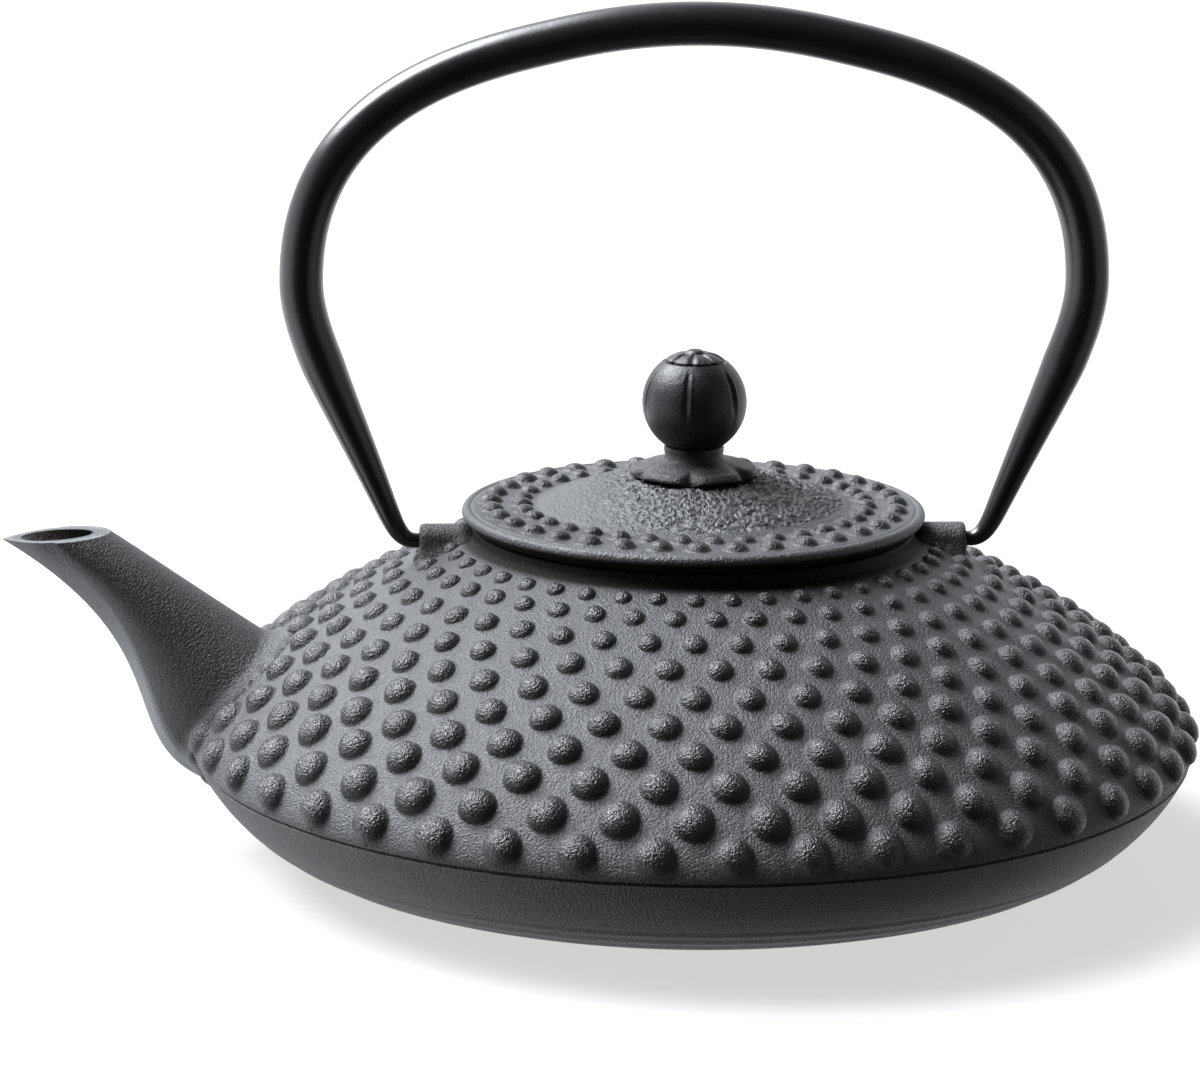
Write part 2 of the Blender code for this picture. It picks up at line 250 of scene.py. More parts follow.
def normals_of(outline):
    """Unit normals on the left of an outline, which is outwards where it runs from the top down."""
    tangent = np.gradient(outline, axis=0)
    tangent /= np.linalg.norm(tangent, axis=1, keepdims=True)
    return np.stack([-tangent[:, 1], tangent[:, 0]], 1)


def place(radius, angle, height):
    """Points in space from a turned outline's radius and height and the angle about Z."""
    radius, angle, height = np.broadcast_arrays(radius, angle, height)
    return np.stack([radius * np.sin(angle), -radius * np.cos(angle), height], -1)


def smoothstep(low, high, value):
    share = np.clip((np.asarray(value, float) - low) / (high - low), 0.0, 1.0)
    return share * share * (3 - 2 * share)


# -------------------------------- meshes

class Skin:
    """Points and faces in millimetres, gathered patch by patch and welded into one mesh."""

    def __init__(self):
        self.points, self.crowns, self.faces, self.count = [], [], [], 0

    def patch(self, points, faces, crown=0.0):
        """Adds a patch. crown says how far up a bump each point is, or -1 where pale light is painted on."""
        points = np.asarray(points, float).reshape(-1, 3)
        self.points.append(points)
        self.crowns.append(np.broadcast_to(crown, len(points)))
        self.faces += (np.asarray(faces) + self.count).tolist()
        self.count += len(points)

    def strip(self, rings, crown=0.0):
        """Quads between successive closed rings of equal length."""
        rings = np.asarray(rings, float)
        rows, sides = rings.shape[:2]
        index = np.arange(rows * sides).reshape(rows, sides)
        after = np.roll(index, -1, axis=1)
        quads = np.stack([index[:-1], after[:-1], after[1:], index[1:]], -1).reshape(-1, 4)
        self.patch(rings, quads, crown)

    def fan(self, ring, tip, crown=0.0):
        """Triangles from a closed ring to one point."""
        sides = len(ring)
        index = np.arange(sides)
        faces = np.stack([index, np.roll(index, -1), np.full(sides, sides)], -1)
        self.patch(np.concatenate([ring, [tip]]), faces, crown)

    def turned(self, outline, sides, phase=0.0):
        """A turned stretch. An end on the axis is closed with a fan."""
        angles = phase + math.tau * np.arange(sides) / sides
        outline = np.asarray(outline, float)
        rings = [place(radius, angles, height) for radius, height in outline if radius > 1e-6]
        if len(rings) > 1:
            self.strip(rings)
        if outline[0][0] <= 1e-6:
            self.fan(rings[0], (0.0, 0.0, outline[0][1]))
        if outline[-1][0] <= 1e-6:
            self.fan(rings[-1], (0.0, 0.0, outline[-1][1]))

    def stitch(self, coarse, fine):
        """Faces between a ring and one of twice as many points."""
        count = len(coarse)
        one = np.arange(count)
        two = np.roll(one, -1)
        start, mid, end = count + 2 * one, count + 2 * one + 1, count + 2 * two
        triangles = ((one, start, mid), (one, mid, two), (two, mid, end))
        faces = np.concatenate([np.stack(corners, -1) for corners in triangles])
        self.patch(np.concatenate([coarse, fine]), faces)

    def solid(self, name, smooth_angle=40):
        """The welded mesh as an object."""
        return make_object(name, self.mesh(name), smooth_angle)

    def mesh(self, name):
        """The welded mesh, in metres, with its faces outwards."""
        data = bpy.data.meshes.new(name)
        data.from_pydata((np.concatenate(self.points) * MM).tolist(), [], self.faces)
        data.attributes.new("crown", "FLOAT", "POINT")
        data.attributes["crown"].data.foreach_set("value", np.concatenate(self.crowns))
        work = bmesh.new()
        work.from_mesh(data)
        bmesh.ops.remove_doubles(work, verts=work.verts, dist=0.001 * MM)
        bmesh.ops.recalc_face_normals(work, faces=work.faces)
        work.to_mesh(data)
        work.free()
        return data


def make_object(name, data, smooth_angle):
    """Links a mesh as an object, shaded smooth up to an angle."""
    data.name = name
    data.shade_smooth()
    data.set_sharp_from_angle(angle=math.radians(smooth_angle))
    made = bpy.data.objects.new(name, data)
    bpy.context.scene.collection.objects.link(made)
    return made


def coordinates(data):
    """A mesh's points in millimetres."""
    points = np.empty(len(data.vertices) * 3, np.float32)
    data.vertices.foreach_get("co", points)
    return points.reshape(-1, 3).astype(float) / MM


def set_coordinates(data, points):
    data.vertices.foreach_set("co", (points * MM).astype(np.float32).ravel())
    data.update()


def boolean(target, cutter, operation):
    """Joins or cuts a mesh with another one, for good."""
    modifier = target.modifiers.new("join", "BOOLEAN")
    modifier.operation = operation
    modifier.object = cutter
    modifier.solver = "MANIFOLD"
    graph = bpy.context.evaluated_depsgraph_get()
    result = bpy.data.meshes.new_from_object(target.evaluated_get(graph))
    target.modifiers.clear()
    target.data = result
    bpy.data.objects.remove(cutter)


def finish_piece(piece, material, body, slot, *nodes):
    """Gives a piece its material and its body, and hides the CAD nodes it stands for; slot is not used."""
    piece.data.materials.clear()
    piece.data.materials.append(material)
    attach(piece, body)
    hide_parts(*nodes)


def ring_across(centre, direction, radius, sides):
    """A circle across a direction that lies in the XZ plane."""
    along = Vector(direction).normalized()
    across = Vector((0.0, 1.0, 0.0))
    up = along.cross(across)
    loop = []
    for k in range(sides):
        angle = math.tau * k / sides
        loop.append(Vector(centre) + float(radius) * (math.cos(angle) * across + math.sin(angle) * up))
    return np.array([tuple(point) for point in loop])


def tube(name, path, radii, sides):
    """A closed round bar along a path in the XZ plane, with flat ends."""
    skin = Skin()
    rings = []
    for i, point in enumerate(path):
        before = Vector(path[max(i - 1, 0)])
        after = Vector(path[min(i + 1, len(path) - 1)])
        rings.append(ring_across(point, after - before, radii[i], sides))
    skin.strip(rings)
    skin.fan(rings[0], path[0])
    skin.fan(rings[-1], path[-1])
    return skin.solid(name)


# -------------------------------- bumps

class Ground:
    """A turned surface addressed by the length along its outline and the angle about Z."""

    def __init__(self, outline):
        self.outline = np.asarray(outline, float)
        steps = np.linalg.norm(np.diff(self.outline, axis=0), axis=1)
        self.lengths = np.concatenate([[0.0], np.cumsum(steps)])
        self.normals = normals_of(self.outline)

    def radius(self, along):
        return np.interp(along, self.lengths, self.outline[:, 0])

    def at(self, along, angle, lift=0.0):
        """Points on the surface, or lift above it."""
        radius = self.radius(along) + lift * np.interp(along, self.lengths, self.normals[:, 0])
        height = np.interp(along, self.lengths, self.outline[:, 1])
        height = height + lift * np.interp(along, self.lengths, self.normals[:, 1])
        return place(radius, angle, height)


# A bump from its foot to its crown, as shares of its radius and height
BUMP_PROFILE = ((1.15, 0.0), (1.05, 0.035), (0.98, 0.17), (0.86, 0.5), (0.62, 0.79), (0.3, 0.96))


def cell_edge(corners, points):
    """Straight sides through a cell's four corners, as a loop of (along, angle) pairs."""
    corners = np.asarray(corners, float)
    shares = np.arange(points)[:, None] / points
    sides = [one + (other - one) * shares for one, other in zip(corners, np.roll(corners, -1, axis=0))]
    return np.concatenate(sides)


def add_bump(skin, ground, edge, first_spoke, centre, radius, height, dice):
    """One cell of the ground with a domed bump in it; each bump differs a little."""
    spokes = len(edge)
    turn = first_spoke + math.tau * np.arange(spokes) / spokes
    drift = [dice.uniform(-BUMP_DRIFT, BUMP_DRIFT) for _ in range(2)]
    middle = np.array(centre) + (drift[0], drift[1] / ground.radius(centre[0]))
    radius *= dice.uniform(0.96, 1.04)
    height *= dice.uniform(0.92, 1.08)
    wobble = 1.0 + 0.025 * np.sin(2 * turn + dice.uniform(0, 6.3))
    wobble += 0.012 * np.sin(3 * turn + dice.uniform(0, 6.3))
    across = ground.radius(middle[0])
    loops = [edge]
    lifts = [np.zeros(spokes)]
    for reach, rise in BUMP_PROFILE:
        out = radius * reach * wobble
        loops.append(middle + np.stack([out * np.sin(turn), out * np.cos(turn) / across], 1))
        lifts.append(np.full(spokes, rise * height))
    loops.insert(1, 0.5 * (loops[0] + loops[1]))
    lifts.insert(1, lifts[0])
    rings = [ground.at(loop[:, 0], loop[:, 1], lift) for loop, lift in zip(loops, lifts)]
    crown = np.repeat([lift[0] / max(height, 1e-6) for lift in lifts], spokes)
    skin.strip(rings, crown)
    tip = ground.at(middle[0], middle[1], height)
    skin.fan(rings[-1], tip, np.append(np.full(spokes, crown[-1]), 1.0))


def add_fringe(skin, ground, base, apex, angle, half, points):
    """Half a diamond between two cells of an end row, from the row's border to an apex between bumps."""
    grid = []
    index = {}
    for i in range(points + 1):
        for j in range(points + 1 - i):
            index[i, j] = len(grid)
            grid.append((base + (apex - base) * i / points, angle + half * ((2 * j + i) / points - 1)))
    faces = []
    for i, j in index:
        if (i + 1, j) in index:
            faces.append((index[i, j], index[i, j + 1], index[i + 1, j]))
        if (i + 1, j + 1) in index:
            faces.append((index[i, j + 1], index[i + 1, j + 1], index[i + 1, j]))
    grid = np.array(grid)
    skin.patch(ground.at(grid[:, 0], grid[:, 1]), faces)


# -------------------------------- pot shell

def bump_spacing(radius):
    return math.tau * radius / BUMPS_AROUND


def shoulder_outline(steps=240):
    """The ground between the bumps and, for the same points, the radius at the bumps' mean height."""
    mean = bezier(
        SHOULDER_START,
        (
            SHOULDER_START[0] + SHOULDER_REACH * math.cos(SHOULDER_SLOPE),
            SHOULDER_START[1] - SHOULDER_REACH * math.sin(SHOULDER_SLOPE),
        ),
        (BELLY_R, BELLY_Z + BELLY_REACH),
        (BELLY_R, BELLY_Z),
        steps,
    )
    sunk = 0.5 * BUMP_HEIGHT * BUMP_SHARE * bump_spacing(mean[:, :1])
    return mean - sunk * normals_of(mean), mean[:, 0]


def bowl_outline(start, steps=52):
    """The smooth lower bowl down to the base, with fine turned ridges low on it."""
    curve = bezier(start, *BOWL_BENDS, (BASE_R, 0.0), steps)
    height = curve[:, 1]
    band = smoothstep(3.2, 4.6, height) * (1 - smoothstep(10.6, 12.0, height))
    ridges = 0.14 * band * np.cos(math.tau * height / 2.3)
    return curve + ridges[:, None] * normals_of(curve)


def hollow_outline():
    """The pot's inside, from above the collar down to the middle of the floor."""
    shoulder, _ = shoulder_outline(20)
    shoulder = shoulder - (WALL - 0.4) * normals_of(shoulder)
    shoulder = shoulder[(shoulder[:, 0] > MOUTH_R + 12) & (shoulder[:, 1] > BELLY_Z + 2)]
    bowl = bezier((BELLY_R - 1.6, BELLY_Z), *BOWL_BENDS, (BASE_R, 0.0), 12)
    bowl = bowl - WALL * normals_of(bowl)
    bowl = bowl[bowl[:, 1] < BELLY_Z - 1]
    above = COLLAR_TOP + 5.0
    mouth = rounded(
        [(SEAT_R, above), (SEAT_R, SEAT_Z), (MOUTH_R, SEAT_Z), (MOUTH_R, SEAT_Z - 4.0), shoulder[0]], 0.4
    )
    return joined([(0.0, above)], mouth[:-1], shoulder, bowl, [(0.0, WALL)])


def spout_section(t):
    """One closed loop across the spout: t is 0 at the mouth and 1 where it meets the body."""
    keel = bezier(SPOUT_TIP, *SPOUT_KEEL, KEEL_STEPS)[round(KEEL_STEPS * t)]
    top = np.array(SPOUT_TOP) - np.array(SPOUT_TOP_RUN) * t
    half = SPOUT_MOUTH_HALF + (SPOUT_ROOT_HALF - SPOUT_MOUTH_HALF) * t
    mouth = math.exp(-t / 0.05)
    crease = 4.0 + 7.0 * mouth
    crease_half = half * (0.62 + 0.3 * mouth)
    height = float(np.linalg.norm(top - keel))
    widest = max(0.55 * height, crease + 0.5)
    bulge = 0.15 + 0.85 * mouth
    facet = [(crease * u, crease_half * (u + bulge * u * (1 - u))) for u in np.linspace(0.2, 1.0, 5)]
    side = bezier(
        (crease, crease_half),
        (crease + 0.33 * (widest - crease), crease_half + 0.6 * (half - crease_half)),
        (crease + 0.66 * (widest - crease), half),
        (widest, half),
        6,
    )[1:]
    crown = [
        (widest + (height - widest) * math.sin(a), half * math.cos(a))
        for a in np.radians(np.linspace(0, 90, 13))[1:-1]
    ]
    right = joined(facet, side, crown)
    outline = joined([(0.0, 0.0)], right, [(height, 0.0)], right[::-1] * (1, -1))
    direction = (top - keel) / height
    out = keel[0] + direction[0] * outline[:, 0]
    up = keel[1] + direction[1] * outline[:, 0]
    return np.stack([-out, outline[:, 1], up], 1)


def make_spout():
    """The spout's outside, ending inside the body."""
    places = np.concatenate([[0.0, 0.006, 0.014], np.linspace(0.03, 1.0, 74)])
    sections = [spout_section(t) for t in places]
    for k in range(1, 6):
        sections.append(sections[len(places) - 1] + np.array((1.8, 0.0, -0.4)) * k)
    points = len(sections[0])
    # Painted light: crown -1 makes the keel facet and the mouth's end pale, standing in for light from
    # below-left.
    painted_light = np.where(np.minimum(np.arange(points), points - np.arange(points)) <= 5, -1.0, 0.0)
    crowns = np.tile(painted_light, (len(sections), 1))
    crowns[0] = -1.0
    skin = Skin()
    skin.strip(sections, crowns.ravel())
    skin.fan(sections[0], sections[0].mean(0), -1.0)
    skin.fan(sections[-1], sections[-1].mean(0))
    return skin.solid("spout")


def depth_outside(points, outline):
    """Distance of points from a turned outline in millimetres, positive outside."""
    flat = np.stack([np.hypot(points[:, 0], points[:, 1]), points[:, 2]], 1)
    apart = flat[:, None, :] - outline[None, :, :]
    distance = np.linalg.norm(apart, axis=2)
    nearest = distance.argmin(1)
    rows = np.arange(len(points))
    side = np.einsum("ij,ij->i", apart[rows, nearest], normals_of(outline)[nearest])
    return np.where(side > 0, distance[rows, nearest], -distance[rows, nearest])


def flare(piece, outline, reach):
    """Swells a piece where it nears the body, so that it runs into the body in a round fillet."""
    points = coordinates(piece.data)
    gap = np.clip(depth_outside(points, outline) / reach, 0.07, 1.0)
    swell = reach * (1.0 - np.sqrt(1.0 - (1.0 - gap) ** 2))
    normals = np.array([tuple(vertex.normal) for vertex in piece.data.vertices])
    set_coordinates(piece.data, points + swell[:, None] * normals)


def spout_bore():
    """The channel from the spout's mouth into the hollow."""
    knots = np.array(SPOUT_BORE)
    length = np.concatenate([[0.0], np.cumsum(np.linalg.norm(np.diff(knots[:, :2], axis=0), axis=1))])
    fine = np.linspace(0.0, length[-1], 24)
    out, up, radii = (np.interp(fine, length, knots[:, column]) for column in range(3))
    path = [(-x, 0.0, z) for x, z in zip(out, up)]
    return tube("spout_bore", path, radii, 40)


def make_lug(side):
    """One round-topped lug beside the collar, with a softened end face."""
    skin = Skin()
    sections = []
    for back, inset in ((0.0, 0.9), (0.08, 0.5), (0.3, 0.2), (0.9, 0.0)):
        sections.append((LUG_END - back, LUG_HALF - inset))
    sections += [(x, LUG_HALF) for x in np.linspace(LUG_END - 1.6, SEAT_R + 1.0, 16)]
    rings = []
    for x, half in sections:
        top = arc((0.0, PIVOT_Z), half, 0, 180, 16)
        left = np.linspace((-half - 0.3, PIVOT_Z - 1.0), (-half - 1.2, PIVOT_Z - 12.0), 12)
        loop = joined(left[::-1] * (-1, 1), top, left)
        rings.append(np.stack([np.full(len(loop), side * x), loop[:, 0], loop[:, 1]], 1))
    skin.strip(rings)
    skin.fan(rings[0], rings[0].mean(0))
    skin.fan(rings[-1], rings[-1].mean(0))
    return skin.solid("lug")


def make_shell_outside(spout):
    """The solid outer form of the body with its rows of bumps. Bumps that the spout covers stay flat."""
    dice = random.Random(SHELL_SEED)
    outline, mean_radii = shoulder_outline()
    ground = Ground(outline)
    rows = [float(np.interp(radius, mean_radii, ground.lengths)) for radius in ROW_RADII]
    borders = [0.0] + rows + [float(ground.lengths[-1])]
    half = math.pi / BUMPS_AROUND
    tree = BVHTree.FromPolygons(
        [tuple(point) for point in coordinates(spout.data)],
        [tuple(face.vertices) for face in spout.data.polygons],
    )
    skin = Skin()
    for row, along in enumerate(rows, start=1):
        share = END_ROW_SHARE if row in (1, len(rows)) else BUMP_SHARE
        radius = share * bump_spacing(float(ground.radius(along)))
        stagger = half if row % 2 else 0.0
        for k in range(BUMPS_AROUND):
            angle = ROW_PHASE + stagger + 2 * half * k
            corners = [
                (along, angle + half), (borders[row + 1], angle),
                (along, angle - half), (borders[row - 1], angle),
            ]
            centre = Vector(ground.at(along, angle).tolist())
            spot, normal, _, distance = tree.find_nearest(centre)
            clear = distance if (centre - spot).dot(normal) > 0 else 0.0
            height = BUMP_HEIGHT * radius * float(smoothstep(0.3, 1.8, clear))
            edge = cell_edge(corners, SIDE_POINTS)
            add_bump(skin, ground, edge, 0.0, (along, angle), radius, height, dice)
            if row == 1:
                add_fringe(skin, ground, borders[0], along, angle + half, half, SIDE_POINTS)
            if row == len(rows):
                add_fringe(skin, ground, borders[-1], along, angle + half, half, SIDE_POINTS)
    sides = BUMPS_AROUND * SIDE_POINTS
    start = outline[0]
    collar = joined(
        [(0.0, COLLAR_TOP), (SEAT_R, COLLAR_TOP), (COLLAR_R - 0.6, COLLAR_TOP)],
        arc((COLLAR_R - 0.5, COLLAR_TOP - 0.5), 0.5, 75, 0, 3),
        bezier(
            (COLLAR_R, start[1] + 1.6), (COLLAR_R, start[1] + 0.7), (start[0] - 0.6, start[1] + 0.2), start, 5
        ),
    )
    skin.turned(collar, sides, ROW_PHASE + half)
    end = outline[-1]
    lip = [end] + [end - step for step in ((0.15, 0.35), (0.75, 0.5), (0.75, 0.8))]
    bowl = bowl_outline((end[0] - 0.3, end[1] - 1.1))
    skin.turned(joined(lip, bowl, [(0.0, 0.0)]), sides, ROW_PHASE)
    return skin.solid("pot_shell"), joined(outline, bowl)


def make_pot_shell(material):
    """Body, spout and lugs as one hollow casting."""
    spout = make_spout()
    shell, profile = make_shell_outside(spout)
    flare(spout, profile, SPOUT_FILLET)
    boolean(shell, spout, "UNION")
    for side in (-1, 1):
        lug = make_lug(side)
        flare(lug, profile, LUG_FILLET)
        boolean(shell, lug, "UNION")
    hollow = Skin()
    hollow.turned(hollow_outline(), BUMPS_AROUND * SIDE_POINTS, phase=math.pi / BUMPS_AROUND)
    boolean(shell, hollow.solid("hollow"), "DIFFERENCE")
    boolean(shell, spout_bore(), "DIFFERENCE")
    for side in (-1, 1):
        path = [(side * x, 0.0, PIVOT_Z) for x in (LUG_END + 4.0, LUG_END - PIN_BORE_DEPTH)]
        boolean(shell, tube("pin_bore", path, [PIN_BORE_R] * 2, 32), "DIFFERENCE")
    made = make_object("pot_shell", shell.data, 40)
    bpy.data.objects.remove(shell)
    made.name = "pot_shell"
    finish_piece(made, material, "pot", "body_iron", "pot_body")


# -------------------------------- bail

def bail_path():
    """Right half of the bail's centre line with the radius at each point, from the top to the pin's end."""
    top = arc((0.0, BAIL_TOP_Z - BAIL_TOP_ARC_R), BAIL_TOP_ARC_R, 90, 90 - BAIL_TOP_ARC_DEG, 14)
    slope = math.radians(BAIL_TOP_ARC_DEG)
    leave, arrive = BAIL_CORNER_REACHES
    corner = bezier(
        top[-1],
        (top[-1][0] + leave * math.cos(slope), top[-1][1] - leave * math.sin(slope)),
        (BAIL_HALF_W, BAIL_WIDEST_Z + arrive),
        (BAIL_HALF_W, BAIL_WIDEST_Z),
        48,
    )
    out, down = math.sin(BAIL_LEG_LEAN), math.cos(BAIL_LEG_LEAN)
    leave, arrive = BAIL_LEG_REACHES
    leg = bezier(
        (BAIL_HALF_W, BAIL_WIDEST_Z),
        (BAIL_HALF_W, BAIL_WIDEST_Z - leave),
        (BAIL_FOOT[0] + arrive * out, BAIL_FOOT[1] + arrive * down),
        BAIL_FOOT,
        32,
    )
    bend = bezier(
        BAIL_FOOT,
        (BAIL_FOOT[0] - BAIL_BEND_REACH * out, BAIL_FOOT[1] - BAIL_BEND_REACH * down),
        (LUG_END + 3.6, PIVOT_Z),
        (LUG_END + 0.8, PIVOT_Z),
        16,
    )
    bar = joined(top, corner[1:], leg[1:])
    share = np.clip((bar[:, 1] - BAIL_FOOT[1]) / (BAIL_TAPER_Z - BAIL_FOOT[1]), 0.0, 1.0)
    bar_radii = BAIL_FOOT_R + (BAIL_R - BAIL_FOOT_R) * share
    bend_radii = np.linspace(BAIL_FOOT_R, BAIL_PIN_R, len(bend))[1:]
    points = joined(bar, bend[1:], [(BAIL_PIN_END + 0.4, PIVOT_Z), (BAIL_PIN_END, PIVOT_Z)])
    radii = np.concatenate([bar_radii, bend_radii, [BAIL_PIN_R, BAIL_PIN_R - 0.3]])
    return points, radii


def make_bail(material):
    """The tapered bar arch with its bent-in ends."""
    points, radii = bail_path()
    path = [(-x, 0.0, z) for x, z in points[:0:-1]] + [(x, 0.0, z) for x, z in points]
    bail = tube("bail_bar", path, np.concatenate([radii[:0:-1], radii]), 40)
    finish_piece(bail, material, "bail", "bail_enamel", "bail_handle")


# -------------------------------- lid

def wrinkle(points, scale):
    """Leathery folds: short warped ridges, from 0 in the creases to 1 on the folds."""
    folds = []
    for point in points / scale:
        place_here = Vector(point.tolist())
        warp = noise.noise_vector(place_here * 0.7) * 0.9
        folds.append(1.0 - min(abs(noise.noise(place_here + warp)) * 3.4, 1.0))
    return np.array(folds)


def dome_outline(steps):
    """The dome's back from the hub to the edge of the bumped band."""
    edge = (LID_BAND_EDGES[0] - 0.7, LID_BAND_Z + 0.6)
    return bezier((HUB_R + 4.0, DOME_TOP), *DOME_BENDS, edge, steps)


def make_dome(skin, angles):
    """The wrinkled dome. Its folds fade out towards the spout, where the casting is worn smooth."""
    rings = np.array([place(radius, angles, height) for radius, height in dome_outline(80)])
    flat = rings.reshape(-1, 3)
    across = np.hypot(flat[:, 0], flat[:, 1])
    worn = smoothstep(-24.0, -4.0, flat[:, 0])
    depth = WRINKLE_DEPTH * smoothstep(30.8, 29.2, across) * (0.25 + 0.75 * worn)
    flat[:, 2] += depth * (wrinkle(flat, WRINKLE_SIZE) - 0.6)
    rings = flat.reshape(rings.shape)
    skin.strip(rings)
    skin.stitch(place(LID_BAND_EDGES[0], angles[::2], LID_BAND_Z + 0.2), rings[-1])
    skin.stitch(place(HUB_R, angles[::2], DOME_TOP), rings[0])


def make_lid(material):
    """Domed cover: wrinkled dome, two rings of bumps in a sunk band, rolled rim and locating skirt."""
    dice = random.Random(LID_SEED)
    sides = LID_BUMPS_AROUND * LID_SIDE_POINTS
    inner, _, outer = LID_BAND_EDGES
    band = Ground(np.linspace((inner, LID_BAND_Z + 0.2), (outer, LID_BAND_Z - 0.1), 60))
    half = math.pi / LID_BUMPS_AROUND
    skin = Skin()
    length = band.lengths[-1] / 2
    for ring, radius in enumerate(LID_BUMP_RADII):
        near, far = ring * length, (ring + 1) * length
        phase = LID_PHASE + (half if ring == 0 else 0.0)
        for k in range(LID_BUMPS_AROUND):
            angle = phase + 2 * half * k
            corners = [
                (near, angle - half), (near, angle + half), (far, angle + half), (far, angle - half),
            ]
            edge = cell_edge(corners, LID_SIDE_POINTS)
            centre = (0.5 * (near + far), angle)
            add_bump(skin, band, edge, math.radians(225), centre, radius, BUMP_HEIGHT * radius, dice)
    make_dome(skin, LID_PHASE + math.tau * np.arange(2 * sides) / (2 * sides))
    hub = [(SCREW_BORE, DOME_TOP - LID_WALL), (SCREW_BORE, DOME_TOP), (HUB_R, DOME_TOP)]
    skin.turned(hub, sides, LID_PHASE)
    rim = joined(
        [(outer, LID_BAND_Z - 0.1), (outer + 0.5, LID_BAND_Z - 0.1)],
        arc((LID_RIM_R + 0.35, LID_RIM_Z + 0.15), LID_RIM_ROLL - 0.35, 125, -70, 16),
    )
    skirt_r, skirt_z = SEAT_R - 0.6, LID_LOW.z
    under = dome_outline(12)[::-1] - (0.0, LID_WALL)
    below = rounded(
        [
            rim[-1], (LID_RIM_R - 0.6, COLLAR_TOP + 0.3), (skirt_r, COLLAR_TOP + 0.3), (skirt_r, skirt_z),
            (skirt_r - 3.0, skirt_z), (skirt_r - 3.2, COLLAR_TOP + 1.1), under[0],
        ],
        0.4,
    )
    skin.turned(joined(rim, below[1:-1], under, hub[:1]), sides, LID_PHASE)
    finish_piece(skin.solid("lid_casting"), material, "lid", "lid_iron", "lid")


# -------------------------------- knob

def past_mark(angles, count, phase):
    """Angle past the nearest of count evenly spaced marks, one of which is at phase."""
    sector = math.tau / count
    return (angles - phase + 0.5 * sector) % sector - 0.5 * sector


def valley(offset, width_deg):
    """1 on a mark, falling to 0 within about twice the width."""
    return np.exp(-((offset / math.radians(width_deg)) ** 2))


def make_rosette(material):
    """Collar around the neck and a draped skirt of six petals whose lips stand off the lid."""
    dice = random.Random(ROSETTE_SEED)
    angles = math.tau * np.arange(KNOB_SIDES) / KNOB_SIDES
    offset = past_mark(angles, ROSETTE_PETALS, ROSETTE_PHASE)
    notch = valley(offset, 7.0)
    number = ((angles - ROSETTE_PHASE) / (math.tau / ROSETTE_PETALS) + 0.5).astype(int) % ROSETTE_PETALS
    reach = np.array([dice.uniform(-0.3, 0.1) for _ in range(ROSETTE_PETALS)])[number]
    curl = np.array([dice.uniform(-0.1, 0.25) for _ in range(ROSETTE_PETALS)])[number]
    full = 1 - valley(offset, 16.0)
    bottom, shelf = ROSETTE_LOW.z, ROSETTE_HIGH.z
    edge_r = ROSETTE_HIGH.x + 0.2 + reach * full - 1.5 * notch
    rings = [place(SCREW_BORE, angles, shelf)]
    for radius, height in ROSETTE_NECK:
        rings.append(place(radius, angles, shelf + height))
    start = np.array((6.2, shelf - 1.1))
    drape = bezier(start, *ROSETTE_BENDS, (ROSETTE_HIGH.x, bottom + 0.8), 22)
    for share, (radius, height) in zip(np.linspace(0, 1, len(drape)), drape):
        radius = start[0] + (radius - start[0]) * (edge_r - start[0]) / (ROSETTE_HIGH.x - start[0])
        lip = 0.3 * math.exp(-(((share - 0.84) / 0.1) ** 2)) - 0.18 * math.exp(-(((share - 0.6) / 0.12) ** 2))
        sag = 0.9 * share**5 * notch
        rings.append(place(radius, angles, height + (lip + curl * share**4) * full - sag))
    foot = rings[-1][:, 2]
    for inward, down in ROSETTE_HEM:
        rings.append(place(edge_r - inward, angles, np.maximum(foot - down, bottom)))
    rings.append(place(9.6, angles, bottom + 0.6))
    rings.append(place(9.2, angles, bottom))
    rings.append(place(SCREW_BORE, angles, bottom))
    skin = Skin()
    skin.strip(rings + rings[:1])
    finish_piece(skin.solid("rosette_petals"), material, "lid", "knob_iron", "knob_rosette")


def flower_rings(angles, cap_z):
    """Rings of the small flower on the knob, from its pip outwards to its cut-back edge."""
    top = KNOB_HIGH.z
    dent = valley(past_mark(angles, CAP_PETALS, CAP_PHASE), 6.0)
    rings = []
    for radius, drop in PIP:
        rings.append(place(radius, angles, top - drop))
    for share in np.linspace(0.0, 1.0, 18):
        edge = CAP_R - 0.55 * dent
        radius = 2.15 + (edge - 2.15) * share
        pad = 0.16 * math.sin(math.pi * share) ** 0.7
        sunk = 0.36 * dent * math.sin(math.pi * min(share * 0.8 + 0.2, 1.0)) ** 0.6
        rings.append(place(radius, angles, top - 0.85 - 1.2 * share**1.8 + pad - sunk))
    edge = CAP_R - 0.55 * dent
    rings.append(place(edge - 0.02, angles, top - 2.3))
    rings.append(place(edge + 0.06, angles, cap_z - 0.1))
    return rings


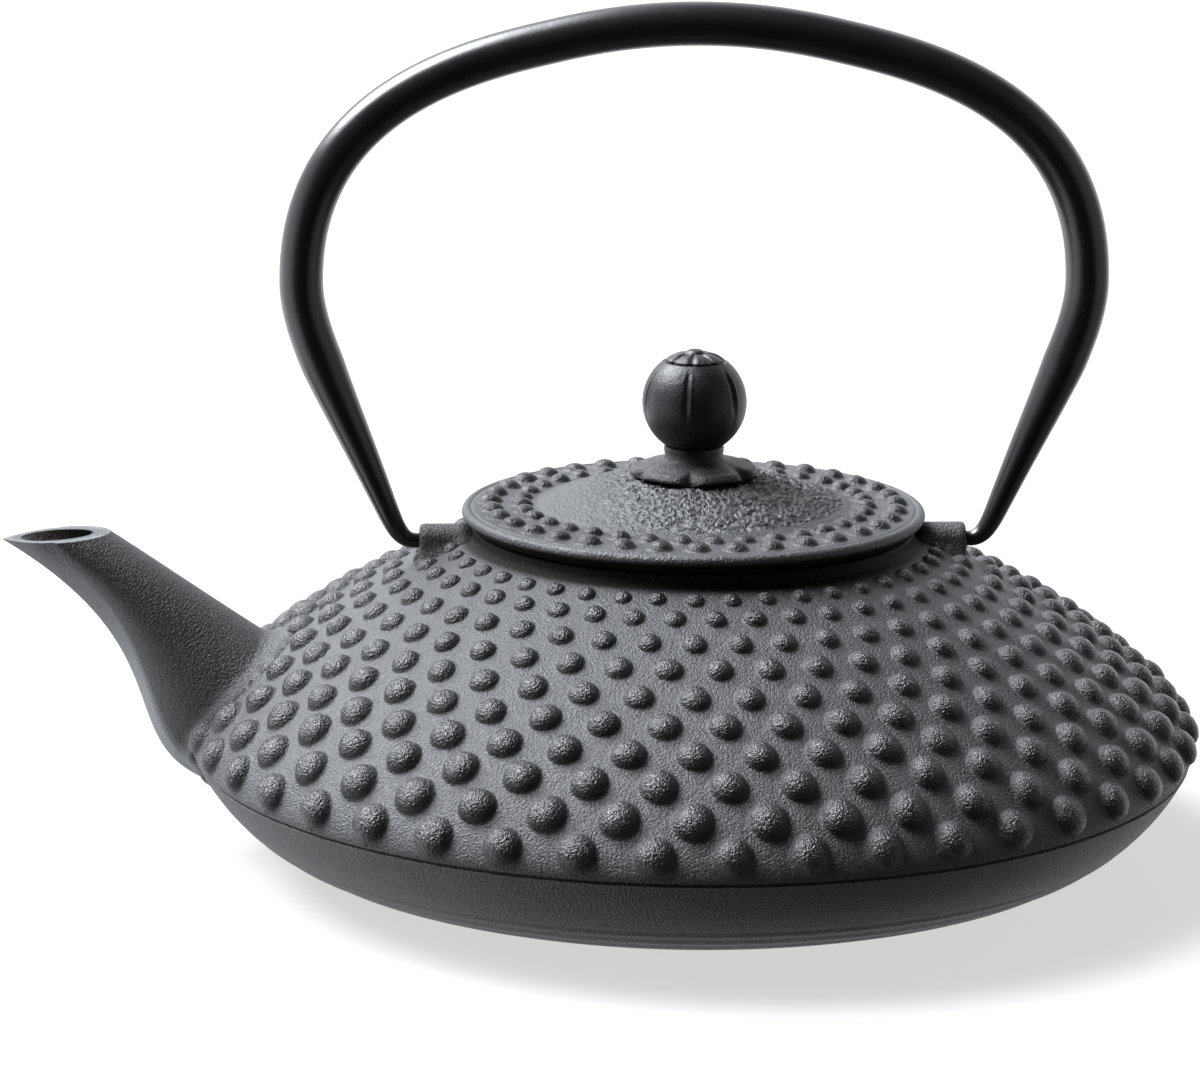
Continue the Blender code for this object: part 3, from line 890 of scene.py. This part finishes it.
def make_knob(material):
    """Lobed ball on a short neck, with a small flower on top."""
    angles = math.tau * np.arange(KNOB_SIDES) / KNOB_SIDES
    offset = past_mark(angles, LOBES, LOBE_PHASE)
    groove = valley(offset, 2.6)
    ridge = valley(offset - math.radians(4.8), 1.6)
    belly = np.abs(np.sin(0.5 * LOBES * offset)) ** 0.6
    cap_z = KNOB_HIGH.z - 2.5
    first = math.degrees(math.asin((cap_z - BALL_Z) / BALL_R))
    rings = flower_rings(angles, cap_z)
    rings.append(place(BALL_R * math.cos(math.radians(first)) - 0.35, angles, cap_z - 0.12))
    for tilt_deg in np.linspace(first, -60, 66):
        tilt = math.radians(tilt_deg)
        upper = smoothstep(-12, 12, tilt_deg) * (1 - smoothstep(first - 20, first - 6, tilt_deg))
        lower = 1 - smoothstep(-35, -5, tilt_deg)
        sink = upper * (0.5 * groove - 0.2 * ridge)
        sink = sink + (0.06 + 0.12 * (1 - lower)) * (1 - belly) * math.cos(tilt)
        rings.append(place((BALL_R - sink) * math.cos(tilt), angles, BALL_Z + BALL_R * math.sin(tilt)))
    foot = KNOB_LOW.z
    for radius, height in ((NECK_R, foot + 0.9), (NECK_R, foot), (2.4, foot), (2.4, SCREW_HOLE_TOP)):
        rings.append(place(radius, angles, height))
    skin = Skin()
    skin.strip(rings)
    skin.fan(rings[0], (0.0, 0.0, KNOB_HIGH.z))
    skin.fan(rings[-1], (0.0, 0.0, SCREW_HOLE_TOP))
    finish_piece(skin.solid("knob_casting"), material, "lid", "knob_iron", "knob")


# -------------------------------- infuser

def make_infuser_rim(material):
    """Pressed flange with a rolled edge and the band that holds the woven sleeve."""
    band_r = SLEEVE_HIGH.x + 0.9
    flange_z = RIM_HIGH.z - 0.9
    outline = rounded(
        [
            (band_r - 0.6, RIM_LOW.z), (band_r - 0.6, RIM_HIGH.z), (RIM_HIGH.x, RIM_HIGH.z),
            (RIM_HIGH.x, flange_z), (band_r, flange_z), (band_r, RIM_LOW.z), (band_r - 0.6, RIM_LOW.z),
        ],
        0.25,
    )
    skin = Skin()
    skin.turned(outline, INFUSER_SIDES)
    finish_piece(skin.solid("infuser_flange"), material, "infuser", "steel", "infuser_rim")


def make_infuser_cup(material):
    """Pressed cup with a round corner that closes the sleeve's lower end."""
    outside, floor = CUP_HIGH.x, CUP_LOW.z
    middle = (outside - CUP_CORNER_R, floor + CUP_CORNER_R)
    flat = outside - CUP_FLAT_EDGE
    outer = joined([(0.0, floor)], [(flat, floor)], arc(middle, CUP_CORNER_R, -90, 0, 8))
    inner = joined(
        arc(middle, CUP_CORNER_R - CUP_WALL, 0, -90, 8), [(flat, floor + CUP_WALL)], [(0.0, floor + CUP_WALL)]
    )
    lip = arc((outside - CUP_WALL / 2, CUP_HIGH.z - CUP_WALL / 2), CUP_WALL / 2, 0, 180, 6)
    skin = Skin()
    skin.turned(joined(outer, lip, inner), INFUSER_SIDES)
    finish_piece(skin.solid("infuser_bowl"), material, "infuser", "steel", "infuser_cup")


def make_infuser_sleeve(material):
    """Woven wire sleeve: upright wires and hoops that pass over and under each other."""
    middle = SLEEVE_HIGH.x - 0.3
    bottom, top = SLEEVE_LOW.z + 0.3, SLEEVE_HIGH.z - 0.3
    hoops = round((top - bottom) / (math.tau * middle / WIRES_AROUND))
    weave = 0.5 * WIRE
    corner = np.array([(1, 0), (0, 1), (-1, 0), (0, -1)]) * 0.5 * WIRE
    skin = Skin()
    for i in range(WIRES_AROUND):
        angle = math.tau * i / WIRES_AROUND
        rings = []
        for j in range(2 * hoops + 1):
            height = bottom + (top - bottom) * j / (2 * hoops)
            bend = weave * math.cos(0.5 * math.pi * j + math.pi * i)
            radius = middle + bend + corner[:, 0]
            rings.append(place(radius, angle + corner[:, 1] / middle, height))
        skin.strip(rings)
        skin.patch(rings[0], [(0, 1, 2, 3)])
        skin.patch(rings[-1], [(3, 2, 1, 0)])
    turns = math.tau * np.arange(2 * WIRES_AROUND) / (2 * WIRES_AROUND)
    for j in range(hoops + 1):
        height = bottom + (top - bottom) * j / hoops
        bend = -weave * np.cos(0.5 * math.pi * np.arange(2 * WIRES_AROUND) + math.pi * j)
        rings = [place(middle + bend + dr, turns, height + dz) for dr, dz in corner]
        skin.strip(rings + rings[:1])
    sleeve = skin.solid("woven_sleeve", smooth_angle=80)
    finish_piece(sleeve, material, "infuser", "woven_steel", "infuser_mesh")


# -------------------------------- materials

class Graph:
    """Short names for the shader nodes used here."""

    def __init__(self, tree):
        self.nodes = tree.nodes
        self.links = tree.links

    def feed(self, socket, value):
        """Links a socket to another node's output, or gives it a plain value."""
        if isinstance(value, bpy.types.NodeSocket):
            self.links.new(value, socket)
        else:
            socket.default_value = value

    def node(self, kind, output, inputs, **settings):
        """Adds a node, sets it up, feeds its inputs by name or number, and returns one output."""
        node = self.nodes.new("ShaderNode" + kind)
        for name, value in settings.items():
            setattr(node, name, value)
        for name, value in inputs.items():
            self.feed(node.inputs[name], value)
        return node.outputs[output]

    def ramp(self, value, low, high, first, last, smooth=False):
        """value from low to high mapped to first to last, held at both ends."""
        limits = {"Value": value, "From Min": low, "From Max": high, "To Min": first, "To Max": last}
        kind = "SMOOTHSTEP" if smooth else "LINEAR"
        return self.node("MapRange", "Result", limits, interpolation_type=kind)

    def math(self, operation, one, two=0.0):
        return self.node("Math", "Value", {0: one, 1: two}, operation=operation)

    def dot(self, vector, direction):
        return self.node("VectorMath", "Value", {0: vector, 1: direction}, operation="DOT_PRODUCT")


class Shader(Graph):
    """A node material built around one Principled shader."""

    def __init__(self, name, metallic, roughness):
        self.material = bpy.data.materials.new(name)
        self.material.use_nodes = True
        super().__init__(self.material.node_tree)
        self.principled = self.nodes["Principled BSDF"]
        self.set("Metallic", metallic)
        self.set("Roughness", roughness)
        self.where = self.node("TexCoord", "Object", {})

    def set(self, socket, value):
        self.feed(self.principled.inputs[socket], value)

    def noise(self, scale, detail, roughness, where=None, distortion=0.0):
        inputs = {"Scale": scale, "Detail": detail, "Roughness": roughness, "Distortion": distortion}
        return self.node("TexNoise", "Fac", {**inputs, "Vector": where or self.where})

    def stretched(self, scale):
        return self.node("Mapping", "Vector", {"Scale": scale, "Vector": self.where})

    def attribute(self, name):
        return self.node("Attribute", "Fac", {}, attribute_name=name)

    def height(self):
        """Height above the table in metres."""
        return self.dot(self.where, (0.0, 0.0, 1.0))

    def mix(self, share, dark, light):
        dark, light = ((*tone, 1.0) if isinstance(tone, tuple) else tone for tone in (dark, light))
        return self.node("Mix", "Result", {"Factor": share, "A": dark, "B": light}, data_type="RGBA")

    def patchy(self, patches, dark, light):
        """A tone that drifts between two in soft patches."""
        return self.mix(self.ramp(patches, 0.35, 0.65, 0.0, 1.0), dark, light)

    def bump(self, height, distance, strength=1.0, below=None):
        inputs = {"Strength": strength, "Distance": distance * MM, "Height": height}
        if below:
            inputs["Normal"] = below
        return self.node("Bump", "Normal", inputs)


def body_iron():
    """Charcoal sand casting: gritty ground, hammered glossier crowns painted dark as shade, painted light on
    the spout's keel and mouth, painted shade on the collar under the lid.
    """
    shader = Shader("body_iron", 0.0, 0.5)
    crown = shader.attribute("crown")
    grit = shader.noise(GRIT_SCALE, 2.0, 0.6)
    hammer = shader.noise(1700.0, 2.0, 0.5)
    patches = shader.noise(45.0, 3.0, 0.6)
    tone = shader.patchy(patches, (0.027, 0.028, 0.029), (0.038, 0.039, 0.041))
    tone = shader.mix(shader.ramp(grit, 0.38, 0.62, 0.85, 0.0), tone, (0.010, 0.010, 0.011))
    # Painted shade: the bumps are painted darker from their feet up, standing in for the shade on their
    # sides.
    tone = shader.mix(shader.ramp(crown, 0.02, 0.6, 0.0, 0.9), tone, (0.007, 0.007, 0.008))
    # Painted light: pale where crown is -1, on the spout's keel facet and mouth end.
    tone = shader.mix(shader.ramp(crown, -1.0, -0.1, 0.9, 0.0), tone, (0.110, 0.114, 0.120))
    # Painted shade: the collar under the lid's rim is painted near black, with weak specular, standing in for
    # the rim's shadow.
    squares = (shader.math("POWER", shader.dot(shader.where, axis), 2.0) for axis in ((1, 0, 0), (0, 1, 0)))
    across = shader.math("SQRT", shader.math("ADD", *squares))
    shaded_collar = shader.ramp(across, *SHADED_COLLAR_R, 1.0, 0.0, True)
    shader.set("Base Color", shader.mix(shaded_collar, tone, (0.003, 0.003, 0.003)))
    shader.set("Specular IOR Level", shader.ramp(shaded_collar, 0.0, 1.0, 0.5, 0.1))
    gloss = shader.ramp(crown, 0.2, 0.9, 0.55, 0.28)
    uneven = shader.ramp(hammer, 0.35, 0.65, -0.06, 0.06)
    shader.set("Roughness", shader.math("ADD", gloss, uneven))
    struck = shader.math("MULTIPLY", hammer, shader.ramp(crown, 0.05, 0.4, 0.4, 1.0))
    shader.set("Normal", shader.bump(grit, 0.4, 1.0, shader.bump(struck, 0.26)))
    return shader.material


def lid_iron():
    """The same casting with smooth crowns painted dark as shade, small folds on the dome and painted shade on
    the underside.
    """
    shader = Shader("lid_iron", 0.0, 0.5)
    crown = shader.attribute("crown")
    grit = shader.noise(GRIT_SCALE, 2.0, 0.6)
    patches = shader.noise(60.0, 3.0, 0.6)
    tone = shader.patchy(patches, (0.024, 0.025, 0.026), (0.035, 0.036, 0.038))
    # Painted shade: the bumps are painted darker from their feet up, standing in for the shade on their
    # sides.
    tone = shader.mix(shader.ramp(crown, 0.02, 0.35, 0.0, 0.95), tone, (0.007, 0.007, 0.008))
    tone = shader.mix(shader.ramp(grit, 0.38, 0.62, 0.5, 0.0), tone, (0.008, 0.008, 0.009))
    # Painted shade: below the rim's roll the lid is painted near black, with weaker specular, as the shade
    # under it.
    under = shader.ramp(shader.height(), *LID_SHADED_UNDERSIDE_Z, 1.0, 0.0, True)
    shader.set("Base Color", shader.mix(under, tone, (0.004, 0.004, 0.004)))
    sheen = shader.ramp(crown, 0.05, 0.5, 0.5, 0.36)
    shader.set("Specular IOR Level", shader.math("SUBTRACT", sheen, shader.math("MULTIPLY", under, 0.3)))
    shader.set("Roughness", shader.ramp(crown, 0.3, 1.0, 0.5, 0.3))
    folds = shader.noise(900.0, 2.0, 0.5, distortion=1.2)
    shader.set("Normal", shader.bump(grit, 0.24, 1.0, shader.bump(folds, 0.35, 0.8)))
    return shader.material


def knob_iron():
    """Satin black casting on the ball, and a paler, grittier one on the rosette under it."""
    shader = Shader("knob_iron", 0.0, 0.42)
    shader.set("Specular IOR Level", 0.36)
    rosette = shader.ramp(shader.height(), *ROSETTE_TOP_Z, 1.0, 0.0)
    patches = shader.noise(160.0, 3.0, 0.6)
    grit = shader.noise(1900.0, 3.0, 0.6)
    ball = shader.mix(patches, (0.006, 0.006, 0.007), (0.010, 0.010, 0.012))
    petals = shader.mix(grit, (0.010, 0.010, 0.011), (0.024, 0.025, 0.026))
    shader.set("Base Color", shader.mix(rosette, ball, petals))
    satin = shader.ramp(patches, 0.3, 0.7, 0.36, 0.46)
    shader.set("Roughness", shader.math("ADD", satin, shader.math("MULTIPLY", rosette, 0.08)))
    rough = shader.math("MULTIPLY", grit, shader.ramp(rosette, 0.0, 1.0, 0.3, 1.0))
    shader.set("Normal", shader.bump(rough, 0.4, 1.0, shader.bump(shader.noise(600.0, 2.0, 0.5), 0.14, 0.5)))
    return shader.material


def bail_enamel():
    """Satin black stove enamel with a faint orange peel."""
    shader = Shader("bail_enamel", 0.0, 0.27)
    shader.set("Coat Weight", 0.15)
    shader.set("Coat Roughness", 0.25)
    cloud = shader.noise(90.0, 3.0, 0.6)
    shader.set("Base Color", shader.mix(cloud, (0.009, 0.009, 0.010), (0.013, 0.013, 0.014)))
    shader.set("Roughness", shader.ramp(cloud, 0.3, 0.7, 0.24, 0.3))
    normal = shader.bump(shader.noise(1400.0, 2.0, 0.5), 0.03, 0.5)
    shader.set("Normal", shader.bump(shader.noise(300.0, 1.0, 0.5), 0.08, 0.4, normal))
    return shader.material


def steel():
    """Brushed stainless, its lines running around the axis."""
    shader = Shader("steel", 1.0, 0.3)
    lines = shader.noise(1.0, 4.0, 0.6, shader.stretched((300.0, 300.0, 9000.0)))
    cloud = shader.noise(120.0, 2.0, 0.5)
    shader.set("Base Color", shader.mix(cloud, (0.56, 0.56, 0.57), (0.66, 0.66, 0.67)))
    shader.set("Roughness", shader.ramp(lines, 0.3, 0.7, 0.22, 0.38))
    shader.set("Normal", shader.bump(lines, 0.02, 0.4))
    return shader.material


def woven_steel():
    """Drawn stainless wire, a little duller than the pressed parts."""
    shader = Shader("woven_steel", 1.0, 0.35)
    cloud = shader.noise(400.0, 2.0, 0.5)
    shader.set("Base Color", shader.mix(cloud, (0.48, 0.48, 0.49), (0.62, 0.62, 0.63)))
    shader.set("Roughness", shader.ramp(cloud, 0.3, 0.7, 0.28, 0.42))
    shader.set("Normal", shader.bump(shader.noise(2500.0, 2.0, 0.5), 0.02, 0.4))
    return shader.material


# -------------------------------- studio

def make_floor():
    """A wide pale floor that glows a little, so that shadows on it stay faint. It doesn't light the pot."""
    data = bpy.data.meshes.new("floor")
    corners = [(FLOOR_HALF * x, FLOOR_HALF * y, 0) for x, y in ((-1, -1), (1, -1), (1, 1), (-1, 1))]
    data.from_pydata(corners, [], [(0, 1, 2, 3)])
    floor = bpy.data.objects.new("floor", data)
    bpy.context.scene.collection.objects.link(floor)
    shader = Shader("floor_paint", 0.0, 0.9)
    shader.set("Base Color", (0.16, 0.16, 0.16, 1.0))
    shader.set("Specular IOR Level", 0.0)
    shader.set("Emission Color", (1.0, 1.0, 1.0, 1.0))
    shader.set("Emission Strength", FLOOR_GLOW)
    data.materials.append(shader.material)
    floor.visible_diffuse = False
    floor.visible_glossy = False
    floor.visible_shadow = False


def make_world():
    """Soft light from overhead, from a wall behind, from the right and from low on the left."""
    world = bpy.data.worlds.new("studio")
    bpy.context.scene.world = world
    world.use_nodes = True
    graph = Graph(world.node_tree)
    background = graph.nodes["Background"]
    direction = graph.node("TexCoord", "Generated", {})
    depth = graph.dot(direction, (0.0, 1.0, 0.0))
    lean = math.radians(KEY_LEAN)
    across = graph.math("ABSOLUTE", graph.dot(direction, (math.cos(lean), 0.0, math.sin(lean))))
    along = graph.math("ABSOLUTE", graph.math("SUBTRACT", depth, KEY_BACK))
    towards = graph.dot(direction, (-math.sin(lean), 0.0, math.cos(lean)))
    upright = graph.math("ABSOLUTE", graph.dot(direction, (0.0, 0.0, 1.0)))
    key = graph.ramp(across, 0.1, 0.45, KEY_POWER, 0.0, True)
    key = graph.math("MULTIPLY", key, graph.ramp(along, 0.05, 0.55, 1.0, 0.0, True))
    key = graph.math("MULTIPLY", key, graph.ramp(towards, 0.0, 0.3, 0.0, 1.0, True))
    wall = graph.ramp(depth, 0.1, 0.9, 0.0, WALL_POWER, True)
    side = graph.ramp(graph.dot(direction, (1.0, 0.0, 0.0)), 0.4, 0.85, 0.0, SIDE_POWER, True)
    side = graph.math("MULTIPLY", side, graph.ramp(upright, 0.2, 0.8, 1.0, 0.2, True))
    table = graph.ramp(graph.dot(direction, (-0.9, 0.0, -0.43)), 0.5, 0.97, 0.0, TABLE_POWER, True)
    total = graph.math("ADD", graph.math("ADD", key, wall), graph.math("ADD", side, table))
    graph.feed(background.inputs["Strength"], graph.math("ADD", total, FILL_POWER))
    graph.feed(background.inputs["Color"], LIGHT_COLOUR)
    white = graph.node("Background", "Background", {"Color": (1.0, 1.0, 1.0, 1.0)})
    seen = graph.node("LightPath", "Is Camera Ray", {})
    chosen = graph.node("MixShader", "Shader", {"Fac": seen, 1: background.outputs["Background"], 2: white})
    graph.feed(graph.nodes["World Output"].inputs["Surface"], chosen)


def make_camera():
    """A long lens a little above the lid, looking slightly down."""
    data = bpy.data.cameras.new("camera")
    data.sensor_width = CAMERA_SENSOR
    data.lens = CAMERA_LENS
    camera = bpy.data.objects.new("camera", data)
    bpy.context.scene.collection.objects.link(camera)
    yaw, pitch, roll = (math.radians(angle) for angle in CAMERA_TURN)
    ahead = Vector((math.sin(yaw) * math.cos(pitch), math.cos(yaw) * math.cos(pitch), -math.sin(pitch)))
    right = Vector((math.cos(yaw), -math.sin(yaw), 0.0))
    up = right.cross(ahead)
    tilted_right = math.cos(roll) * right + math.sin(roll) * up
    tilted_up = -math.sin(roll) * right + math.cos(roll) * up
    turn = Matrix((tilted_right, tilted_up, -ahead)).transposed()
    camera.matrix_world = Matrix.Translation(CAMERA_PLACE) @ turn.to_4x4()
    bpy.context.scene.camera = camera


def main():
    make_camera()
    make_world()
    make_floor()
    bpy.context.scene.view_settings.view_transform = "Standard"

    make_pot_shell(body_iron())
    make_bail(bail_enamel())
    make_lid(lid_iron())
    knob_finish = knob_iron()
    make_rosette(knob_finish)
    make_knob(knob_finish)
    bright = steel()
    make_infuser_rim(bright)
    make_infuser_cup(bright)
    make_infuser_sleeve(woven_steel())
    for node in ("knob_screw", "knob_washer"):
        frame["nodes"][node].data.materials.clear()
        frame["nodes"][node].data.materials.append(bright)


main()
